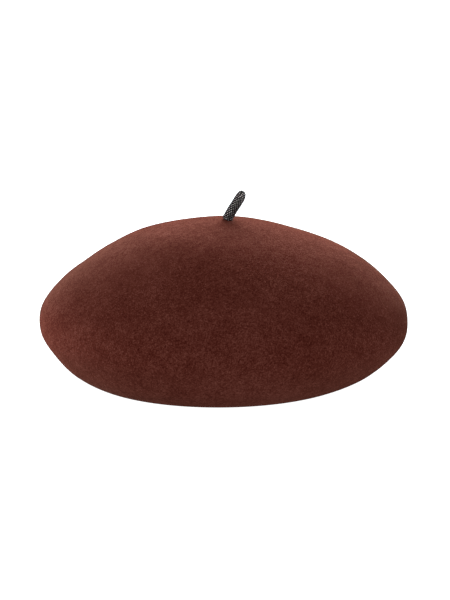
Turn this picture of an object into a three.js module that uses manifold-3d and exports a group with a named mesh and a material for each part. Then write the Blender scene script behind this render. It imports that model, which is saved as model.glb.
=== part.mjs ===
// A moulded wool felt beret with a short beaded stalk, resting on its rim.
// Millimetres, +Z up. The origin is the centre of the beret's footprint box, on the surface it rests on.
// The front of the beret faces -Y and its wearer's left is at +X, the right-hand side of the front view.
//
// The beret is one hollow shell of felt: a low dome that rolls over a soft edge and turns back in underneath
// to a round head opening. The felt around the opening lies flat on the surface. The stalk is a stiff tube
// covered with small beads, sewn on near the top of the dome, and it leans to one side.

import * as THREE from "three";
import { mergeVertices } from "three/addons/utils/BufferGeometryUtils.js";
import Module from "manifold-3d";

const wasm = await Module();
wasm.setup();

// The felt shell's outer surface, ring by ring from the flat rim up to the top of the dome.
// radius and height give the ring, shift moves its centre along +X, and rise is how much higher its left end
// (-X) stands, and its right end (+X) lies lower, than its middle.
const RINGS = [
  { name: "rim", radius: 93, height: 0, shift: -4, rise: 0 },
  { name: "underside", radius: 114, height: 9.5, shift: -3, rise: 1 },
  { name: "lower flank", radius: 129, height: 23, shift: -1, rise: 1.5 },
  { name: "below the edge", radius: 139, height: 38.5, shift: 0, rise: 1.5 },
  { name: "above the edge", radius: 138, height: 58, shift: 0, rise: 0 },
  { name: "upper flank", radius: 125, height: 75.5, shift: 0.8, rise: 0.5 },
  { name: "mid flank", radius: 107.5, height: 90, shift: 0.5, rise: -0.5 },
  { name: "shoulder", radius: 87.5, height: 102.3, shift: 0, rise: 0 },
  { name: "dome", radius: 62.5, height: 113.1, shift: -0.5, rise: 1 },
  { name: "crown", radius: 30, height: 121.2, shift: -0.8, rise: 0 },
  { name: "top", radius: 0, height: 124.2, shift: 0, rise: 0 },
];
const RIM_LEAD_IN = 20; // how far inside the rim ring the curve of the underside is aimed from

const WALL = 2.2; // thickness of the felt
const OPENING_RADIUS = 87; // head opening, a circumference of about 547 mm before the felt stretches
const EDGE_ARC_STEPS = 4; // facets around the rounded edge of the opening

const SHELL_STEPS = 26; // facets along the shell from the rim to the top
const SHELL_SEGMENTS = 64; // facets around the shell

// The stalk stands on the dome just in front of its top and leans towards +X. Its foot is cut square, so the
// right side of the foot sits down on the felt and the left side is lifted.
const STALK_FOOT = new THREE.Vector2(2.65, -8); // centre of the foot, in plan
const STALK_LIFT = 0.45; // how far the centre of the foot stands above the dome
const STALK_LEAN = THREE.MathUtils.degToRad(30); // away from upright
const STALK_SWAY = 0.2; // how far its slight S bend strays to either side of a straight line
const STALK_RADIUS = 3.7;
const STALK_LENGTH = 24.4; // from the foot to the tip
const STALK_TIP_HEIGHT = 6.2; // the rounded end, from where the stalk starts to narrow
const STALK_TIP_TAPER = 0.7; // how sharply the end narrows, where 1 is a plain half ball or egg
const STALK_SEGMENTS = 20;
const STALK_SIDE_STEPS = 8;
const STALK_TIP_STEPS = 6;
const SEAT_GAP = 0.3; // left between the stalk and the felt that it is sewn to

const SAME_POINT = 1e-4; // vertices nearer than this are one
const CLOSE_ENOUGH = 1e-6; // where the search along the section stops
const SLOPE_STEP = 1e-3; // how far along the section its slope is taken

// The curve through two columns of RINGS, with a lead-in point before the rim and a mirrored one past the top.
// It gives a point for t from 0, at the rim, to 1, at the top.
function columnCurve(first, second, leadIn, mirror) {
  const points = RINGS.map((ring) => new THREE.Vector2(ring[first], ring[second]));
  const nextToTop = points[points.length - 2];
  const before = points[0].clone().sub(leadIn);
  const after = nextToTop.clone().multiply(mirror);
  const curve = new THREE.SplineCurve([before, ...points, after]);
  const spans = points.length - 1;
  return (t) => curve.getPoint((1 + t * spans) / (spans + 2));
}

const sectionAt = columnCurve(
  "radius",
  "height",
  new THREE.Vector2(RIM_LEAD_IN, 0),
  new THREE.Vector2(-1, 1),
);
const offsetsAt = columnCurve("shift", "rise", new THREE.Vector2(0, 0), new THREE.Vector2(1, 1));

// The section's outward normal, pointing away from the felt: straight down at the flat rim, up at the top.
function normalAt(t) {
  if (t === 0) return new THREE.Vector2(0, -1);
  if (t === 1) return new THREE.Vector2(0, 1);
  const along = sectionAt(Math.min(1, t + SLOPE_STEP)).sub(sectionAt(Math.max(0, t - SLOPE_STEP)));
  return new THREE.Vector2(along.y, -along.x).normalize();
}

// One ring of the shell: t says which, and out is how far it stands off the outer surface. The last is a point.
function shellRing(t, out) {
  const point = sectionAt(t).addScaledVector(normalAt(t), out);
  if (t === 1) point.setX(0);
  const offsets = offsetsAt(t);
  return { point, shift: offsets.x, rise: offsets.y };
}

// The rings along the whole shell, from the rim to the top.
function shellRings(out) {
  return Array.from({ length: SHELL_STEPS + 1 }, (_, i) => shellRing(i / SHELL_STEPS, out));
}

// Turns a list of rings into a closed surface. Each ring of the lathe is then moved by its own shift and rise.
function bentLathe(rings, segments) {
  const geometry = new THREE.LatheGeometry(
    rings.map((ring) => ring.point),
    segments,
  );
  geometry.rotateX(Math.PI / 2);
  const position = geometry.getAttribute("position");
  const vertex = new THREE.Vector3();
  for (let i = 0; i < position.count; i++) {
    const { shift, rise } = rings[i % rings.length];
    vertex.fromBufferAttribute(position, i);
    const reach = Math.hypot(vertex.x, vertex.y);
    const towardsRight = reach > 0 ? vertex.x / reach : 0;
    position.setXYZ(i, vertex.x + shift, vertex.y, vertex.z - rise * towardsRight);
  }
  return geometry;
}

// The felt shell: down the inside, round the edge of the opening and up the outside.
function feltShell() {
  const inside = shellRings(-WALL).reverse();
  const outside = shellRings(0);
  const { shift, rise } = outside[0];
  const edge = [];
  for (let i = 0; i <= EDGE_ARC_STEPS; i++) {
    const angle = Math.PI / 2 + (i / EDGE_ARC_STEPS) * Math.PI;
    const point = new THREE.Vector2(
      OPENING_RADIUS + WALL / 2 + (Math.cos(angle) * WALL) / 2,
      WALL / 2 + (Math.sin(angle) * WALL) / 2,
    );
    edge.push({ point, shift, rise });
  }
  return bentLathe([...inside, ...edge, ...outside], SHELL_SEGMENTS);
}

// A closed geometry as a solid that can be cut.
function toSolid(geometry) {
  const bare = geometry.clone();
  bare.deleteAttribute("normal");
  bare.deleteAttribute("uv");
  const merged = mergeVertices(bare, SAME_POINT);
  return new wasm.Manifold(
    new wasm.Mesh({
      numProp: 3,
      vertProperties: merged.getAttribute("position").array,
      triVerts: new Uint32Array(merged.index.array),
    }),
  );
}

function toGeometry(solid) {
  const mesh = solid.getMesh();
  const geometry = new THREE.BufferGeometry();
  geometry.setAttribute("position", new THREE.BufferAttribute(mesh.vertProperties, mesh.numProp));
  geometry.setIndex(new THREE.BufferAttribute(mesh.triVerts, 1));
  geometry.computeVertexNormals();
  return geometry;
}

// The dome as a filled block, grown by the seat gap: what the foot of the stalk is cut to.
function domeBlock() {
  const base = { point: new THREE.Vector2(0, -WALL), shift: 0, rise: 0 };
  return bentLathe([base, ...shellRings(SEAT_GAP)], SHELL_SEGMENTS);
}

// The height of the dome's outer surface above a point near its top.
function domeHeight(plan) {
  const reach = plan.length();
  let [low, high] = [0, 1];
  while (high - low > CLOSE_ENOUGH) {
    const middle = (low + high) / 2;
    if (sectionAt(middle).x > reach) low = middle;
    else high = middle;
  }
  return sectionAt(low).y;
}

// The stalk standing upright on its own origin: a square foot, a tube with an S bend and a rounded tip.
function uprightStalk() {
  const sideHeight = STALK_LENGTH - STALK_TIP_HEIGHT;
  const outline = [new THREE.Vector2(0, 0)];
  for (let i = 0; i < STALK_SIDE_STEPS; i++) {
    outline.push(new THREE.Vector2(STALK_RADIUS, (sideHeight * i) / STALK_SIDE_STEPS));
  }
  for (let i = 0; i <= STALK_TIP_STEPS; i++) {
    const angle = (i / STALK_TIP_STEPS) * (Math.PI / 2);
    const radius = i === STALK_TIP_STEPS ? 0 : STALK_RADIUS * Math.cos(angle) ** STALK_TIP_TAPER;
    outline.push(new THREE.Vector2(radius, sideHeight + STALK_TIP_HEIGHT * Math.sin(angle)));
  }
  const geometry = new THREE.LatheGeometry(outline, STALK_SEGMENTS).rotateX(Math.PI / 2);
  const position = geometry.getAttribute("position");
  for (let i = 0; i < position.count; i++) {
    const height = position.getZ(i);
    const sway = STALK_SWAY * Math.sin((2 * Math.PI * height) / STALK_LENGTH);
    position.setX(i, position.getX(i) - sway);
  }
  return geometry;
}

const felt = new THREE.MeshStandardMaterial({ color: 0x5a2a22, roughness: 0.95, metalness: 0 });
const beads = new THREE.MeshStandardMaterial({ color: 0x33302f, roughness: 0.35, metalness: 0.7 });

const shell = new THREE.Mesh(feltShell(), felt);
shell.name = "felt_shell";

const stalk = new THREE.Mesh(new THREE.BufferGeometry(), beads);
stalk.name = "stalk";
stalk.position.set(STALK_FOOT.x, STALK_FOOT.y, domeHeight(STALK_FOOT) + STALK_LIFT);
stalk.rotation.y = STALK_LEAN;
stalk.updateMatrix();
const blockInStalkFrame = domeBlock().applyMatrix4(stalk.matrix.clone().invert());
stalk.geometry = toGeometry(toSolid(uprightStalk()).subtract(toSolid(blockInStalkFrame)));

const beret = new THREE.Group();
beret.name = "beret";
beret.add(shell, stalk);

export default beret;
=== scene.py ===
"""A wool felt beret with a short beaded stalk.

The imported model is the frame. Everything here is built around it: the moulded felt shell with the small
pucker where the stalk is sewn on, the stalk's thread core, its rings of beads and its stitches.

Sizes are in millimetres up to the point where a mesh is made, and metres from there on.
"""

import math

import bpy
import numpy as np
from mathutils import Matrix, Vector, noise


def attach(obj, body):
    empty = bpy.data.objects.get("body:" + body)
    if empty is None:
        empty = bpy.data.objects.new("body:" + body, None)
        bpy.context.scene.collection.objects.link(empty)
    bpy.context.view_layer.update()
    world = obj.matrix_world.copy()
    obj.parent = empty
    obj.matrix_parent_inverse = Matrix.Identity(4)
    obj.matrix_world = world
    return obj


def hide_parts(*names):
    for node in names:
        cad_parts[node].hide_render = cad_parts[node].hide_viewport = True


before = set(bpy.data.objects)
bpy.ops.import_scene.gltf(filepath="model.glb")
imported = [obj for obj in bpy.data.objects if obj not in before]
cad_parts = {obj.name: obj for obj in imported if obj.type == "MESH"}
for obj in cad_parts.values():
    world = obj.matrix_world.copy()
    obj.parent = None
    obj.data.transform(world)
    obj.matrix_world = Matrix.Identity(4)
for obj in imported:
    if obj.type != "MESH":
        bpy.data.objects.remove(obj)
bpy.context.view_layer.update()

MM = 0.001
BODY = "root"

# The felt shell's outer surface, ring by ring, as the frame has it. shift moves a ring's centre along +X, and
# rise is how much higher its left end stands, and its right end lies lower, than its middle.
RINGS = [
    {"name": "rim", "radius": 93, "height": 0, "shift": -4, "rise": 0},
    {"name": "underside", "radius": 114, "height": 9.5, "shift": -3, "rise": 1},
    {"name": "lower flank", "radius": 129, "height": 23, "shift": -1, "rise": 1.5},
    {"name": "below the edge", "radius": 139, "height": 38.5, "shift": 0, "rise": 1.5},
    {"name": "above the edge", "radius": 138, "height": 58, "shift": 0, "rise": 0},
    {"name": "upper flank", "radius": 125, "height": 75.5, "shift": 0.8, "rise": 0.5},
    {"name": "mid flank", "radius": 107.5, "height": 90, "shift": 0.5, "rise": -0.5},
    {"name": "shoulder", "radius": 87.5, "height": 102.3, "shift": 0, "rise": 0},
    {"name": "dome", "radius": 62.5, "height": 113.1, "shift": -0.5, "rise": 1},
    {"name": "crown", "radius": 30, "height": 121.2, "shift": -0.8, "rise": 0},
    {"name": "top", "radius": 0, "height": 124.2, "shift": 0, "rise": 0},
]
RIM_LEAD_IN = 20  # how far inside the rim the outline's curve comes from
WALL = 2.2
OPENING_RADIUS = 87

# How finely the shell is made, and its soft unevenness.
SHELL_STEPS = 150
SHELL_SEGMENTS = 288
SECTION_MEASURES = 20  # places measured along the section for each of its steps, to space the steps evenly
DOME_MEASURES = 400
EDGE_ARC_STEPS = 10
FLAT_RIM_STEPS = 4
UNEVENNESS = [
    {"wavelength": 46, "depth": 0.22},
    {"wavelength": 15, "depth": 0.1},
]
RIM_CALM = 0.1  # the share of the section, from the rim, over which the unevenness and the nap come in
NEAR_TOP = 0.85  # the share of the section, from the rim, where the top of the dome begins
NAP = 0.15  # how far the nap's surface stands out of the frame's smooth felt

# The stalk, as the frame has it.
STALK_FOOT = (2.65, -8.0)
STALK_LIFT = 0.45  # how far the middle of the foot stands above the dome
STALK_LEAN = math.radians(30)
STALK_SWAY = 0.2  # how far the stalk bends to each side of its straight line
STALK_RADIUS = 3.7
STALK_LENGTH = 24.4
STALK_TIP_HEIGHT = 6.2
STALK_TIP_TAPER = 0.7  # 1 makes the tip half an ellipsoid, and less makes it fuller

# The felt is drawn up to the lifted side of the stalk's foot and pressed down under the other side.
PUCKER_INNER = 3.0  # within this distance of the stalk's axis the felt follows the foot
PUCKER_OUTER = 5.5  # and beyond this one it is the plain dome
PUCKER_UP = 0.3  # how much of the way up to the foot the felt is drawn
PUCKER_DOWN = 0.4

# Beads: short barrels that stand in rings round the stalk, each ring turned by half a bead against the last.
BEAD_WIDTH = 1.7  # around the stalk, and outwards
BEAD_LENGTH = 1.27  # along the stalk, which is the way that the thread goes through
BEAD_PROUD = 0.35  # how far the beads' crowns stand out of the frame's smooth stalk
BEAD_RING_PITCH = 1.31
BEAD_FIRST_RING = 0.4  # how far its centre is from the foot
BEAD_HOLE = 0.34  # width of the thread hole, as a share of the bead's
BEAD_SIDES = 10
BEAD_PROFILE = 8
BEAD_TILT = 0.1  # how far a bead may be turned from its place, in radians
BEAD_SEED = 7
BEAD_MEASURES = 1000  # places measured along the stalk's side, to space the rings evenly
CORE_INSET = 1.1  # how far the thread core lies inside the frame's smooth stalk
CORE_SEGMENTS = 24
CORE_STEPS = 32

STITCH_COUNT = 7
STITCH_THICK = 0.42
STITCH_START = 0.5  # how far up the stalk a stitch leaves the core
STITCH_TURN = 0.3  # how far the stitches are turned round the stalk, as a share of the space between two
STITCH_REACH = 0.4  # how far from the foot a stitch enters the felt
STITCH_BOW_OUT = 0.35  # how far a stitch's loop is drawn outwards, and along the stalk
STITCH_BOW_UP = 0.2
STITCH_STEPS = 7
STITCH_SIDES = 8

# The felt's colours, from the hollows of the nap to its tips, and the mottle that each one stands at.
FELT_DARK = {"mottle": 0.15, "colour": (0.0330, 0.0036, 0.0022, 1)}
FELT_MIDDLE = {"mottle": 0.5, "colour": (0.0735, 0.0158, 0.0105, 1)}
FELT_LIGHT = {"mottle": 0.9, "colour": (0.1500, 0.0490, 0.0370, 1)}

# The mottle is made of patches of four sizes. scale is how many there are to a metre, and depth is how far
# they move the mottle from its middle value.
FELT_PATCHES = {
    "grain": {"scale": 1150, "detail": 2, "roughness": 0.6, "distortion": 0.6, "depth": 0.27},
    "tufts": {"scale": 460, "detail": 2, "roughness": 0.55, "distortion": 0.8, "depth": 0.11},
    "blotches": {"scale": 110, "detail": 3, "roughness": 0.55, "distortion": 0.0, "depth": 0.055},
    "drift": {"scale": 24, "detail": 2, "roughness": 0.5, "distortion": 0.0, "depth": 0.05},
}
PATCH_DARKEST = 0.3  # the noise that gives the full depth either way
PATCH_LIGHTEST = 0.7
FELT_BUMP_STRENGTH = 0.4
FELT_BUMP_DEPTH = 0.4
FELT_SHEEN = {"Weight": 0.017, "Roughness": 0.5, "Tint": (1.0, 0.95, 0.7, 1)}

# The beads' gunmetal coat, with its range of colour from bead to bead, is kept to each bead's crown as a
# painted highlight. A near-black painted shade covers the rest of each bead, between it and the next.
# Nearness to the crown runs from 0 to 1. The painted highlight begins at one value and is full at the next.
COAT_DARK = (0.32, 0.294, 0.301, 1)
COAT_LIGHT = (0.60, 0.552, 0.565, 1)
PAINTED_GAP_SHADE = (0.005, 0.004, 0.004, 1)
PAINTED_GLINT_BEGINS = 0.28
PAINTED_GLINT_FULL = 0.72
COAT_METALLIC = 0.93
COAT_ROUGHNESS = 0.32
COAT_EDGE_TINT = (0.3, 0.3, 0.3, 1)

THREAD_DARK = (0.006, 0.005, 0.005, 1)
THREAD_LIGHT = (0.022, 0.019, 0.018, 1)
THREAD_TWISTS = 2500  # to a metre
THREAD_ROUGHNESS = 0.8

# Camera: the photograph's view.
CAMERA_ELEVATION = math.radians(11)
CAMERA_DISTANCE = 1.5
CAMERA_AIM = (0.0011, 0.0002, 0.0610)
CAMERA_LENS = 118.1
CAMERA_SENSOR = 36.0

# Light: a fill from all round that is brightest at the left, lamps behind and at the left that draw the
# felt's top and left edge, and two lamps for the glints of the beads.
FILL_SIDE = 105  # the azimuth that the fill is brightest from
FILL_BRIGHT = 1.13
FILL_DIM = 0.61
BACKDROP = 1.1  # how bright the surroundings look to the camera
GLOSSY_FILL = 0.2  # and how bright they look in the beads
FLOOR_GLOW = 0.77  # the light that the floor gives the felt
FLOOR_SHADE = 0.16  # how much of the light on it the floor gives back
FLOOR_REACH = 12
NEUTRAL = (1.0, 1.0, 1.0)
COOL = (0.9, 1.0, 1.04)

# The lamps are aimed at the beret. Azimuth and elevation are in degrees, as direction() takes them, distance,
# width and height are in metres, and power is in watts.
LAMPS = [
    {
        "name": "back softbox", "for_beads": False, "colour": COOL, "power": 63,
        "azimuth": 183, "elevation": 31, "distance": 1.1, "width": 0.9, "height": 0.4,
    },
    {
        "name": "low left lamp", "for_beads": False, "colour": COOL, "power": 0.55,
        "azimuth": 96, "elevation": -6.7, "distance": 0.267, "width": 0.3, "height": 0.05,
    },
    {
        "name": "left bead lamp", "for_beads": True, "colour": NEUTRAL, "power": 33,
        "azimuth": 50, "elevation": 38, "distance": 1.6, "width": 0.7, "height": 0.7,
    },
    {
        "name": "right bead lamp", "for_beads": True, "colour": NEUTRAL, "power": 76,
        "azimuth": -72, "elevation": 10, "distance": 1.6, "width": 1.0, "height": 0.4,
    },
]


def catmull_rom(points, t):
    """The curve through all but the first and last of points, at t from 0 to 1, and its slope there."""
    spans = len(points) - 3
    place = np.clip(np.asarray(t, float), 0, 1) * spans
    index = np.minimum(place.astype(int), spans - 1)
    u = (place - index)[:, None]
    p0, p1, p2, p3 = (points[index + i] for i in range(4))
    a = 2 * p1
    b = p2 - p0
    c = 2 * p0 - 5 * p1 + 4 * p2 - p3
    d = 3 * p1 - p0 - 3 * p2 + p3
    value = (a + b * u + c * u**2 + d * u**3) / 2
    slope = (b + 2 * c * u + 3 * d * u**2) / 2
    return value, slope


def section_at(t):
    """Radius and height of the outer surface at t, 0 at the rim and 1 at the top, and its outward normal."""
    points = np.array([(ring["radius"], ring["height"]) for ring in RINGS], float)
    before = points[0] - (RIM_LEAD_IN, 0)
    after = points[-2] * (-1, 1)
    value, slope = catmull_rom(np.vstack([before, points, after]), t)
    normal = np.stack([slope[:, 1], -slope[:, 0]], axis=1)
    normal /= np.linalg.norm(normal, axis=1)[:, None]
    return value, normal


def offsets_at(t):
    """Shift and rise at t."""
    points = np.array([(ring["shift"], ring["rise"]) for ring in RINGS], float)
    value, _ = catmull_rom(np.vstack([points[0], points, points[-2]]), t)
    return value


def even_steps():
    """Values of t that are evenly spaced along the section."""
    fine = np.linspace(0, 1, SECTION_MEASURES * SHELL_STEPS)
    value, _ = section_at(fine)
    length = np.concatenate([[0], np.cumsum(np.linalg.norm(np.diff(value, axis=0), axis=1))])
    return np.interp(np.linspace(0, length[-1], SHELL_STEPS + 1), length, fine)


def dome_height(x, y):
    """Height of the plain dome above a point near its top."""
    t = np.linspace(NEAR_TOP, 1, DOME_MEASURES)
    value, _ = section_at(t)
    return np.interp(np.hypot(x, y), value[::-1, 0], value[::-1, 1])


def foot_height(x):
    """Height of the plane of the stalk's square foot."""
    centre = dome_height(*STALK_FOOT) + STALK_LIFT
    return centre - (x - STALK_FOOT[0]) * math.tan(STALK_LEAN)


def smooth(x):
    """A soft rise from 0 at x = 0 to 1 at x = 1, and level on both sides."""
    x = np.clip(x, 0, 1)
    return x * x * (3 - 2 * x)


def pucker(x, y):
    """How far the felt rises or dips where the stalk is sewn on."""
    away = np.hypot(x - STALK_FOOT[0], y - STALK_FOOT[1])
    near = smooth((PUCKER_OUTER - away) / (PUCKER_OUTER - PUCKER_INNER))
    reach = np.clip(x, STALK_FOOT[0] - STALK_RADIUS, STALK_FOOT[0] + STALK_RADIUS)
    lift = foot_height(reach) - dome_height(x, y)
    return near * np.where(lift > 0, lift * PUCKER_UP, lift * PUCKER_DOWN)


def unevenness(points, calm):
    """How far each point of the felt stands out of the plain surface."""
    out = np.zeros(len(points))
    for wave in UNEVENNESS:
        for i, point in enumerate(points):
            out[i] += wave["depth"] * noise.noise(Vector(point) / wave["wavelength"])
    return out * calm


def shell_grid():
    """The felt's rings as a grid of points, from the top inside to the top outside, and the two poles."""
    t = even_steps()
    angles = np.linspace(0, 2 * math.pi, SHELL_SEGMENTS, endpoint=False)
    cosines, sines = np.cos(angles), np.sin(angles)
    value, normal = section_at(t)
    offsets = offsets_at(t)
    value[-1, 0] = 0
    normal[-1] = (0, 1)
    normal[0] = (0, -1)

    def place(section, shift_rise):
        x = section[:, :1] * cosines + shift_rise[:, :1]
        y = section[:, :1] * sines
        z = section[:, 1:] - shift_rise[:, 1:] * cosines
        return np.stack([x, y, z], axis=2)

    outer = place(value, offsets)
    inner = place(value - WALL * normal, offsets)
    calm = np.repeat(smooth(t / RIM_CALM)[:, None], SHELL_SEGMENTS, axis=1)
    calm[-1] = 1
    bump = unevenness(outer.reshape(-1, 3), calm.reshape(-1)).reshape(calm.shape)
    bump[-1] = bump[-1, 0]
    spread = np.stack([normal[:, :1] * cosines, normal[:, :1] * sines, normal[:, 1:] + 0 * cosines], axis=2)
    near_top = (t > NEAR_TOP)[:, None]
    for layer, thicker in ((outer, NAP), (inner, 0)):
        layer += spread * (bump + thicker * calm)[:, :, None]
        layer[:, :, 2] += np.where(near_top, pucker(layer[:, :, 0], layer[:, :, 1]), 0)

    arc = np.linspace(math.pi / 2, 3 * math.pi / 2, EDGE_ARC_STEPS + 1)
    edge_section = np.stack(
        [OPENING_RADIUS + WALL / 2 + WALL / 2 * np.cos(arc), WALL / 2 + WALL / 2 * np.sin(arc)], axis=1
    )
    flat = np.linspace(edge_section[-1, 0], RINGS[0]["radius"], FLAT_RIM_STEPS + 1)[1:-1]
    above = np.stack([flat[::-1], np.full(len(flat), WALL)], axis=1)
    below = np.stack([flat, np.zeros(len(flat))], axis=1)
    edge_section = np.vstack([above, edge_section, below])
    edge = place(edge_section, np.repeat(offsets[:1], len(edge_section), axis=0))
    grid = np.vstack([inner[::-1][1:], edge, outer[:-1]])
    return grid, inner[-1, 0], outer[-1, 0]


def mesh_object(name, vertices, faces, material):
    """A new object at the origin, from vertices in millimetres."""
    mesh = bpy.data.meshes.new(name)
    mesh.from_pydata([tuple(v) for v in np.asarray(vertices) * MM], [], faces)
    mesh.validate()
    mesh.shade_smooth()
    mesh.materials.append(material)
    piece = bpy.data.objects.new(name, mesh)
    bpy.context.scene.collection.objects.link(piece)
    return piece


def lathe_faces(rings, around, first_pole, last_pole):
    """Faces of a closed surface of rings between two poles, facing out where the rings run up the outside."""
    faces = []
    for ring in range(rings - 1):
        for i in range(around):
            j = (i + 1) % around
            a, b = ring * around, (ring + 1) * around
            faces.append((a + i, a + j, b + j, b + i))
    last = (rings - 1) * around
    for i in range(around):
        j = (i + 1) % around
        faces.append((j, i, first_pole))
        faces.append((last + i, last + j, last_pole))
    return faces


def felt_shell(material):
    """The moulded felt: one closed wall from the top inside, round the opening's edge, to the top outside."""
    grid, inside_pole, outside_pole = shell_grid()
    rings, around = grid.shape[:2]
    vertices = np.vstack([grid.reshape(-1, 3), inside_pole, outside_pole])
    faces = lathe_faces(rings, around, rings * around, rings * around + 1)
    return mesh_object("felt_shell_moulded", vertices, faces, material)


# The stalk's own directions: along it, to its lower side, which is the right one, and towards the back.
ALONG = np.array([math.sin(STALK_LEAN), 0, math.cos(STALK_LEAN)])
ASIDE = np.array([math.cos(STALK_LEAN), 0, -math.sin(STALK_LEAN)])
BACKWARDS = np.array([0.0, 1.0, 0.0])


def into_tip(distance):
    """How far into the rounded end a point of the stalk is, from 0 where it begins to 1 at the very tip."""
    straight = STALK_LENGTH - STALK_TIP_HEIGHT
    return np.clip((distance - straight) / STALK_TIP_HEIGHT, 0, 1)


def stalk_radius(distance, inset):
    """Radius of the stalk, less an inset, at a distance from its foot."""
    return (STALK_RADIUS - inset) * (1 - into_tip(distance) ** 2) ** (STALK_TIP_TAPER / 2)


def stalk_centre(distance):
    """A point on the stalk's bent centre line."""
    foot = np.array([*STALK_FOOT, foot_height(STALK_FOOT[0])])
    sway = STALK_SWAY * math.sin(2 * math.pi * distance / STALK_LENGTH)
    return foot + ALONG * distance - ASIDE * sway


def stalk_ring(distance, radius, count, phase):
    """Points around the stalk, with the outward direction at each."""
    angles = (np.arange(count) + phase) * 2 * math.pi / count
    outward = np.outer(np.cos(angles), ASIDE) + np.outer(np.sin(angles), BACKWARDS)
    return stalk_centre(distance) + radius * outward, outward


def stalk_core(material):
    """The thread core: a closed tube with a rounded tip."""
    length = STALK_LENGTH - CORE_INSET
    rings = []
    for i in range(CORE_STEPS):
        distance = length * math.sin(i / CORE_STEPS * math.pi / 2)
        radius = stalk_radius(distance / length * STALK_LENGTH, CORE_INSET)
        rings.append(stalk_ring(distance, radius, CORE_SEGMENTS, 0)[0])
    vertices = np.vstack([*rings, stalk_centre(0), stalk_centre(length)])
    count = len(rings) * CORE_SEGMENTS
    faces = lathe_faces(len(rings), CORE_SEGMENTS, count, count + 1)
    return mesh_object("stalk_core", vertices, faces, material)


def bead_places():
    """Where each bead sits, with its outward direction and the direction up the stalk's side there."""
    inset = BEAD_WIDTH / 2 - BEAD_PROUD
    distance = np.linspace(BEAD_FIRST_RING, STALK_LENGTH - inset, BEAD_MEASURES)
    radius = np.array([stalk_radius(d * STALK_LENGTH / distance[-1], inset) for d in distance])
    slope_out, slope_up = np.gradient(radius), np.gradient(distance)
    walked = np.concatenate([[0], np.cumsum(np.hypot(np.diff(radius), np.diff(distance)))])
    places = []
    rings = round(walked[-1] / BEAD_RING_PITCH)
    for ring in range(rings + 1):
        at = walked[-1] * (1 - ring / rings)
        height, r = np.interp(at, walked, distance), np.interp(at, walked, radius)
        tilt = math.atan2(-np.interp(at, walked, slope_out), np.interp(at, walked, slope_up))
        count = max(1, round(2 * math.pi * r / BEAD_WIDTH))
        points, outward = stalk_ring(height, r, count, ring % 2 / 2)
        for point, out in zip(points, outward):
            if point[2] < dome_height(point[0], point[1]) + pucker(point[0], point[1]):
                continue
            facing = out * math.cos(tilt) + ALONG * math.sin(tilt)
            upwards = ALONG * math.cos(tilt) - out * math.sin(tilt)
            places.append((point, facing, upwards))
    return places


def group_input(tree, name, kind, default):
    """Adds a named input to a node group and returns its identifier."""
    socket = tree.interface.new_socket(name, in_out="INPUT", socket_type=kind)
    if default is not None:
        socket.default_value = default
    return socket.identifier


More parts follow.
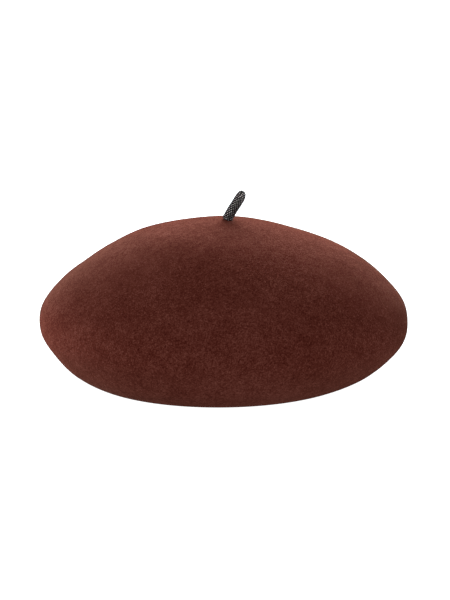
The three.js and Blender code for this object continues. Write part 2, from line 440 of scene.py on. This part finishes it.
def bead_tree(material):
    """Sets one barrel bead on each point, turned by the point's outward and upwards directions.

    The bead is made one unit wide and long, with its hole along Y and its crown towards Z. Its
    painted_glint_mask falls from 1 on the crown to 0 half a unit away from it, and places the painted
    highlight and painted shade.
    """
    tree = bpy.data.node_groups.new("Beads on points", "GeometryNodeTree")
    group_input(tree, "Points", "NodeSocketGeometry", None)
    group_input(tree, "Width", "NodeSocketFloat", BEAD_WIDTH * MM)
    group_input(tree, "Length", "NodeSocketFloat", BEAD_LENGTH * MM)
    group_input(tree, "Tilt", "NodeSocketFloat", BEAD_TILT)
    seed = group_input(tree, "Seed", "NodeSocketInt", 0)
    tree.interface.new_socket("Beads", in_out="OUTPUT", socket_type="NodeSocketGeometry")
    nodes, link = tree.nodes, tree.links.new
    entry = nodes.new("NodeGroupInput")
    end = nodes.new("NodeGroupOutput")

    wall = (1 - BEAD_HOLE) / 4
    path = nodes.new("GeometryNodeCurvePrimitiveCircle")
    path.inputs["Resolution"].default_value = BEAD_SIDES
    path.inputs["Radius"].default_value = 0.5 - wall
    outline = nodes.new("GeometryNodeCurvePrimitiveCircle")
    outline.inputs["Resolution"].default_value = BEAD_PROFILE
    outline.inputs["Radius"].default_value = 1
    section = nodes.new("GeometryNodeTransform")
    section.inputs["Scale"].default_value = (wall, 0.5, 1)
    link(outline.outputs["Curve"], section.inputs["Geometry"])
    ring = nodes.new("GeometryNodeCurveToMesh")
    link(path.outputs["Curve"], ring.inputs["Curve"])
    link(section.outputs["Geometry"], ring.inputs["Profile Curve"])
    barrel = nodes.new("GeometryNodeTransform")
    barrel.inputs["Rotation"].default_value = (math.pi / 2, 0, 0)
    link(ring.outputs["Mesh"], barrel.inputs["Geometry"])

    # Nearness to the crown, stored as the mask for the painted highlight on each crown and the painted shade
    # between beads.
    place = nodes.new("GeometryNodeInputPosition")
    from_crown = nodes.new("ShaderNodeVectorMath")
    from_crown.operation = "DISTANCE"
    from_crown.inputs[1].default_value = (0, 0, 0.5)
    link(place.outputs["Position"], from_crown.inputs[0])
    crown = nodes.new("ShaderNodeMapRange")
    crown.inputs["From Max"].default_value = 0.5
    crown.inputs["To Min"].default_value = 1
    crown.inputs["To Max"].default_value = 0
    link(from_crown.outputs["Value"], crown.inputs["Value"])
    crowned = nodes.new("GeometryNodeStoreNamedAttribute")
    crowned.data_type = "FLOAT"
    crowned.domain = "POINT"
    crowned.inputs["Name"].default_value = "painted_glint_mask"
    link(barrel.outputs["Geometry"], crowned.inputs["Geometry"])
    link(crown.outputs["Result"], crowned.inputs["Value"])

    size = nodes.new("ShaderNodeCombineXYZ")
    link(entry.outputs["Width"], size.inputs["X"])
    link(entry.outputs["Length"], size.inputs["Y"])
    link(entry.outputs["Width"], size.inputs["Z"])

    def direction(name):
        attribute = nodes.new("GeometryNodeInputNamedAttribute")
        attribute.data_type = "FLOAT_VECTOR"
        attribute.inputs["Name"].default_value = name
        return attribute.outputs["Attribute"]

    face_out = nodes.new("FunctionNodeAlignRotationToVector")
    face_out.axis = "Z"
    link(direction("outward"), face_out.inputs["Vector"])
    stand = nodes.new("FunctionNodeAlignRotationToVector")
    stand.axis = "Y"
    stand.pivot_axis = "Z"
    link(face_out.outputs["Rotation"], stand.inputs["Rotation"])
    link(direction("upwards"), stand.inputs["Vector"])
    sway = nodes.new("FunctionNodeRandomValue")
    sway.data_type = "FLOAT_VECTOR"
    sway.inputs["Min"].default_value = (-1, -1, -1)
    sway.inputs["Max"].default_value = (1, 1, 1)
    link(entry.outputs["Seed"], sway.inputs["Seed"])
    tilt = nodes.new("ShaderNodeVectorMath")
    tilt.operation = "SCALE"
    link(sway.outputs["Value"], tilt.inputs["Vector"])
    link(entry.outputs["Tilt"], tilt.inputs["Scale"])
    tilted = nodes.new("FunctionNodeRotateRotation")
    tilted.rotation_space = "LOCAL"
    link(stand.outputs["Rotation"], tilted.inputs["Rotation"])
    link(tilt.outputs["Vector"], tilted.inputs["Rotate By"])

    scatter = nodes.new("GeometryNodeInstanceOnPoints")
    link(entry.outputs["Points"], scatter.inputs["Points"])
    link(crowned.outputs["Geometry"], scatter.inputs["Instance"])
    link(tilted.outputs["Rotation"], scatter.inputs["Rotation"])
    link(size.outputs["Vector"], scatter.inputs["Scale"])
    shade = nodes.new("FunctionNodeRandomValue")
    shade.data_type = "FLOAT"
    link(entry.outputs["Seed"], shade.inputs["Seed"])
    store = nodes.new("GeometryNodeStoreNamedAttribute")
    store.data_type = "FLOAT"
    store.domain = "INSTANCE"
    store.inputs["Name"].default_value = "bead_shade"
    link(scatter.outputs["Instances"], store.inputs["Geometry"])
    link(shade.outputs[1], store.inputs["Value"])
    realize = nodes.new("GeometryNodeRealizeInstances")
    link(store.outputs["Geometry"], realize.inputs["Geometry"])
    polish = nodes.new("GeometryNodeSetShadeSmooth")
    link(realize.outputs["Geometry"], polish.inputs["Geometry"])
    finish = nodes.new("GeometryNodeSetMaterial")
    finish.inputs["Material"].default_value = material
    link(polish.outputs["Geometry"], finish.inputs["Geometry"])
    link(finish.outputs["Geometry"], end.inputs["Beads"])
    return tree, seed


def stalk_beads(material):
    """All of the stalk's beads, as one mesh."""
    points, outward, upwards = (np.array(column) for column in zip(*bead_places()))
    guide = bpy.data.meshes.new("bead_guide")
    guide.from_pydata([tuple(point) for point in points * MM], [], [])
    for name, directions in (("outward", outward), ("upwards", upwards)):
        attribute = guide.attributes.new(name, "FLOAT_VECTOR", "POINT")
        attribute.data.foreach_set("vector", directions.reshape(-1))
    holder = bpy.data.objects.new("bead_guide", guide)
    bpy.context.scene.collection.objects.link(holder)
    tree, seed = bead_tree(material)
    modifier = holder.modifiers.new("Beads", "NODES")
    modifier.node_group = tree
    modifier[seed] = BEAD_SEED
    depsgraph = bpy.context.evaluated_depsgraph_get()
    mesh = bpy.data.meshes.new_from_object(holder.evaluated_get(depsgraph))
    bpy.data.objects.remove(holder)
    mesh.name = "stalk_beads"
    piece = bpy.data.objects.new("stalk_beads", mesh)
    bpy.context.scene.collection.objects.link(piece)
    return piece


def tube(points, radius, sides):
    """Vertices and faces of a closed tube along points."""
    points = np.asarray(points, float)
    slopes = np.gradient(points, axis=0)
    vertices = []
    for point, slope in zip(points, slopes):
        slope = slope / np.linalg.norm(slope)
        across = np.cross(slope, (0.0, 0.0, 1.0))
        if np.linalg.norm(across) < 1e-3:
            across = np.array([1.0, 0.0, 0.0])
        across /= np.linalg.norm(across)
        up = np.cross(slope, across)
        for k in range(sides):
            angle = 2 * math.pi * k / sides
            vertices.append(point + radius * (math.cos(angle) * across + math.sin(angle) * up))
    count = len(vertices)
    vertices += [points[0], points[-1]]
    return vertices, lathe_faces(len(points), sides, count, count + 1)


def stalk_stitches(material):
    """Loops of thread from the rim of the stalk's foot down into the felt."""
    vertices, faces = [], []
    points, outward = stalk_ring(STITCH_START, STALK_RADIUS - CORE_INSET, STITCH_COUNT, STITCH_TURN)
    for start, out in zip(points, outward):
        end = start + out * (STITCH_REACH + CORE_INSET)
        end[2] = dome_height(end[0], end[1]) + pucker(end[0], end[1]) - STITCH_THICK
        middle = (start + end) / 2 + out * STITCH_BOW_OUT + ALONG * STITCH_BOW_UP
        path = [
            (1 - u) ** 2 * start + 2 * u * (1 - u) * middle + u**2 * end
            for u in np.linspace(0, 1, STITCH_STEPS)
        ]
        loop_vertices, loop_faces = tube(path, STITCH_THICK / 2, STITCH_SIDES)
        base = len(vertices)
        vertices += loop_vertices
        faces += [tuple(base + i for i in face) for face in loop_faces]
    return mesh_object("stalk_stitches", vertices, faces, material)


def new_material(name):
    """A new material, with its node tree and its shader."""
    material = bpy.data.materials.new(name)
    material.use_nodes = True
    shader = material.node_tree.nodes["Principled BSDF"]
    return material, material.node_tree, shader


def felt_material():
    """Wool felt: a close short nap, finely mottled, with a soft velvety sheen at a shallow angle."""
    material, tree, shader = new_material("wool felt")
    nodes, link = tree.nodes, tree.links.new
    place = nodes.new("ShaderNodeTexCoord")

    def cloud(patches):
        texture = nodes.new("ShaderNodeTexNoise")
        for socket in ("Scale", "Detail", "Roughness", "Distortion"):
            texture.inputs[socket].default_value = FELT_PATCHES[patches][socket.lower()]
        link(place.outputs["Object"], texture.inputs["Vector"])
        return texture.outputs["Fac"]

    def spread(value, patches, middle=0.0):
        depth = FELT_PATCHES[patches]["depth"]
        remap = nodes.new("ShaderNodeMapRange")
        remap.inputs["From Min"].default_value = PATCH_DARKEST
        remap.inputs["From Max"].default_value = PATCH_LIGHTEST
        remap.inputs["To Min"].default_value = middle - depth
        remap.inputs["To Max"].default_value = middle + depth
        link(value, remap.inputs["Value"])
        return remap.outputs["Result"]

    def add(a, b):
        total = nodes.new("ShaderNodeMath")
        total.operation = "ADD"
        link(a, total.inputs[0])
        link(b, total.inputs[1])
        return total.outputs["Value"]

    grain, tufts = cloud("grain"), cloud("tufts")
    blotches, drift = cloud("blotches"), cloud("drift")
    mottle = add(
        add(spread(grain, "grain"), spread(tufts, "tufts")),
        add(spread(blotches, "blotches"), spread(drift, "drift", FELT_MIDDLE["mottle"])),
    )
    colour = nodes.new("ShaderNodeValToRGB")
    stops = colour.color_ramp.elements
    for stop, shade in ((stops[0], FELT_DARK), (stops[1], FELT_LIGHT)):
        stop.position = shade["mottle"]
        stop.color = shade["colour"]
    stops.new(FELT_MIDDLE["mottle"]).color = FELT_MIDDLE["colour"]
    link(mottle, colour.inputs["Fac"])
    link(colour.outputs["Color"], shader.inputs["Base Color"])
    bump = nodes.new("ShaderNodeBump")
    bump.inputs["Strength"].default_value = FELT_BUMP_STRENGTH
    bump.inputs["Distance"].default_value = FELT_BUMP_DEPTH * MM
    link(add(grain, tufts), bump.inputs["Height"])
    link(bump.outputs["Normal"], shader.inputs["Normal"])
    shader.inputs["Roughness"].default_value = 1.0
    shader.inputs["Specular IOR Level"].default_value = 0.0
    for name, value in FELT_SHEEN.items():
        shader.inputs[f"Sheen {name}"].default_value = value
    return material


def bead_material():
    """Gunmetal-coated glass beads, with a painted highlight on each crown and painted shade between them,
    each a little lighter or darker than the next.
    """
    material, tree, shader = new_material("gunmetal beads")
    nodes, link = tree.nodes, tree.links.new

    def attribute(name):
        read = nodes.new("ShaderNodeAttribute")
        read.attribute_name = name
        return read.outputs["Fac"]

    def blend(factor, first, second):
        mix = nodes.new("ShaderNodeMix")
        mix.data_type = "RGBA"
        link(factor, mix.inputs["Factor"])
        mix.inputs["A"].default_value = first
        if isinstance(second, tuple):
            mix.inputs["B"].default_value = second
        else:
            link(second, mix.inputs["B"])
        return mix.outputs["Result"]

    coat = blend(attribute("bead_shade"), COAT_DARK, COAT_LIGHT)
    # Painted highlight on each bead's crown, fading to painted shade over its sides and ends, where it meets
    # the next bead.
    painted_highlight = nodes.new("ShaderNodeMapRange")
    painted_highlight.interpolation_type = "SMOOTHSTEP"
    painted_highlight.inputs["From Min"].default_value = PAINTED_GLINT_BEGINS
    painted_highlight.inputs["From Max"].default_value = PAINTED_GLINT_FULL
    link(attribute("painted_glint_mask"), painted_highlight.inputs["Value"])
    link(blend(painted_highlight.outputs["Result"], PAINTED_GAP_SHADE, coat), shader.inputs["Base Color"])
    shader.inputs["Metallic"].default_value = COAT_METALLIC
    shader.inputs["Roughness"].default_value = COAT_ROUGHNESS
    shader.inputs["Specular Tint"].default_value = COAT_EDGE_TINT
    return material


def thread_material():
    """Black sewing thread."""
    material, tree, shader = new_material("black thread")
    nodes, link = tree.nodes, tree.links.new
    place = nodes.new("ShaderNodeTexCoord")
    texture = nodes.new("ShaderNodeTexNoise")
    texture.inputs["Scale"].default_value = THREAD_TWISTS
    link(place.outputs["Object"], texture.inputs["Vector"])
    colour = nodes.new("ShaderNodeMix")
    colour.data_type = "RGBA"
    colour.inputs["A"].default_value = THREAD_DARK
    colour.inputs["B"].default_value = THREAD_LIGHT
    link(texture.outputs["Fac"], colour.inputs["Factor"])
    link(colour.outputs["Result"], shader.inputs["Base Color"])
    shader.inputs["Roughness"].default_value = THREAD_ROUGHNESS
    return material


def camera():
    """The photograph's view: level with the beret's front, from a little above."""
    data = bpy.data.cameras.new("camera")
    data.lens = CAMERA_LENS
    data.sensor_width = CAMERA_SENSOR
    view = bpy.data.objects.new("camera", data)
    back = Vector((0, -math.cos(CAMERA_ELEVATION), math.sin(CAMERA_ELEVATION)))
    view.location = Vector(CAMERA_AIM) + back * CAMERA_DISTANCE
    view.rotation_euler = (-back).to_track_quat("-Z", "Y").to_euler()
    bpy.context.scene.collection.objects.link(view)
    bpy.context.scene.camera = view


def floor():
    """A plain white floor, lit from within so that no shadow but the closest one shows."""
    mesh = bpy.data.meshes.new("floor")
    corners = [(x * FLOOR_REACH, y * FLOOR_REACH, 0) for x, y in ((-1, -1), (1, -1), (1, 1), (-1, 1))]
    mesh.from_pydata(corners, [], [(0, 1, 2, 3)])
    material, tree, shader = new_material("floor white")
    shader.inputs["Base Color"].default_value = (FLOOR_SHADE, FLOOR_SHADE, FLOOR_SHADE, 1)
    shader.inputs["Roughness"].default_value = 1.0
    shader.inputs["Specular IOR Level"].default_value = 0.0
    shader.inputs["Emission Color"].default_value = (1, 1, 1, 1)
    path = tree.nodes.new("ShaderNodeLightPath")
    glow = tree.nodes.new("ShaderNodeMix")
    glow.data_type = "FLOAT"
    glow.inputs["A"].default_value = FLOOR_GLOW
    glow.inputs["B"].default_value = GLOSSY_FILL
    tree.links.new(path.outputs["Is Glossy Ray"], glow.inputs["Factor"])
    seen = tree.nodes.new("ShaderNodeMix")
    seen.data_type = "FLOAT"
    seen.inputs["B"].default_value = BACKDROP
    tree.links.new(path.outputs["Is Camera Ray"], seen.inputs["Factor"])
    tree.links.new(glow.outputs["Result"], seen.inputs["A"])
    tree.links.new(seen.outputs["Result"], shader.inputs["Emission Strength"])
    mesh.materials.append(material)
    piece = bpy.data.objects.new("floor", mesh)
    bpy.context.scene.collection.objects.link(piece)


def direction(azimuth, elevation):
    """A way out from the beret. The azimuth is 0 in front, 90 degrees at the left and -90 at the right."""
    azimuth, elevation = math.radians(azimuth), math.radians(elevation)
    level = math.cos(elevation)
    return Vector((-math.sin(azimuth) * level, -math.cos(azimuth) * level, math.sin(elevation)))


def surroundings():
    """A white studio, plain behind the beret, that gives an even light with a darker side at the right."""
    world = bpy.data.worlds.new("studio")
    world.use_nodes = True
    tree = world.node_tree
    nodes, link = tree.nodes, tree.links.new
    background = nodes["Background"]
    place = nodes.new("ShaderNodeTexCoord")

    def mix(factor, first, second):
        blend = nodes.new("ShaderNodeMix")
        blend.data_type = "FLOAT"
        link(factor, blend.inputs["Factor"])
        for socket, value in (("A", first), ("B", second)):
            if isinstance(value, float):
                blend.inputs[socket].default_value = value
            else:
                link(value, blend.inputs[socket])
        return blend.outputs["Result"]

    towards = nodes.new("ShaderNodeVectorMath")
    towards.operation = "DOT_PRODUCT"
    towards.inputs[1].default_value = direction(FILL_SIDE, 0)
    link(place.outputs["Generated"], towards.inputs[0])
    fill = nodes.new("ShaderNodeMapRange")
    fill.inputs["From Min"].default_value = -1
    fill.inputs["To Min"].default_value = FILL_DIM
    fill.inputs["To Max"].default_value = FILL_BRIGHT
    link(towards.outputs["Value"], fill.inputs["Value"])
    path = nodes.new("ShaderNodeLightPath")
    seen = mix(path.outputs["Is Glossy Ray"], fill.outputs["Result"], GLOSSY_FILL)
    link(mix(path.outputs["Is Camera Ray"], seen, BACKDROP), background.inputs["Strength"])
    background.inputs["Color"].default_value = (1, 1, 1, 1)
    bpy.context.scene.world = world


def softbox(name, for_beads, colour, power, azimuth, elevation, distance, width, height):
    """A lamp aimed at the beret, which lights either the felt or the shiny beads."""
    way = direction(azimuth, elevation)
    data = bpy.data.lights.new(name, "AREA")
    data.shape = "RECTANGLE"
    data.color = colour
    data.size = width
    data.size_y = height
    data.energy = power
    lamp = bpy.data.objects.new(name, data)
    lamp.location = Vector(CAMERA_AIM) + way * distance
    lamp.rotation_euler = way.to_track_quat("Z", "Y").to_euler()
    lamp.visible_camera = False
    lamp.visible_diffuse = not for_beads
    lamp.visible_glossy = for_beads
    bpy.context.scene.collection.objects.link(lamp)


camera()
bpy.context.scene.view_settings.view_transform = "Standard"
felt = felt_material()
beads = bead_material()
thread = thread_material()

shell = felt_shell(felt)
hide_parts("felt_shell")
core = stalk_core(thread)
bead_rows = stalk_beads(beads)
stitches = stalk_stitches(thread)
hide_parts("stalk")
for piece in (shell, core, bead_rows, stitches):
    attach(piece, BODY)

floor()
surroundings()
for lamp in LAMPS:
    softbox(**lamp)
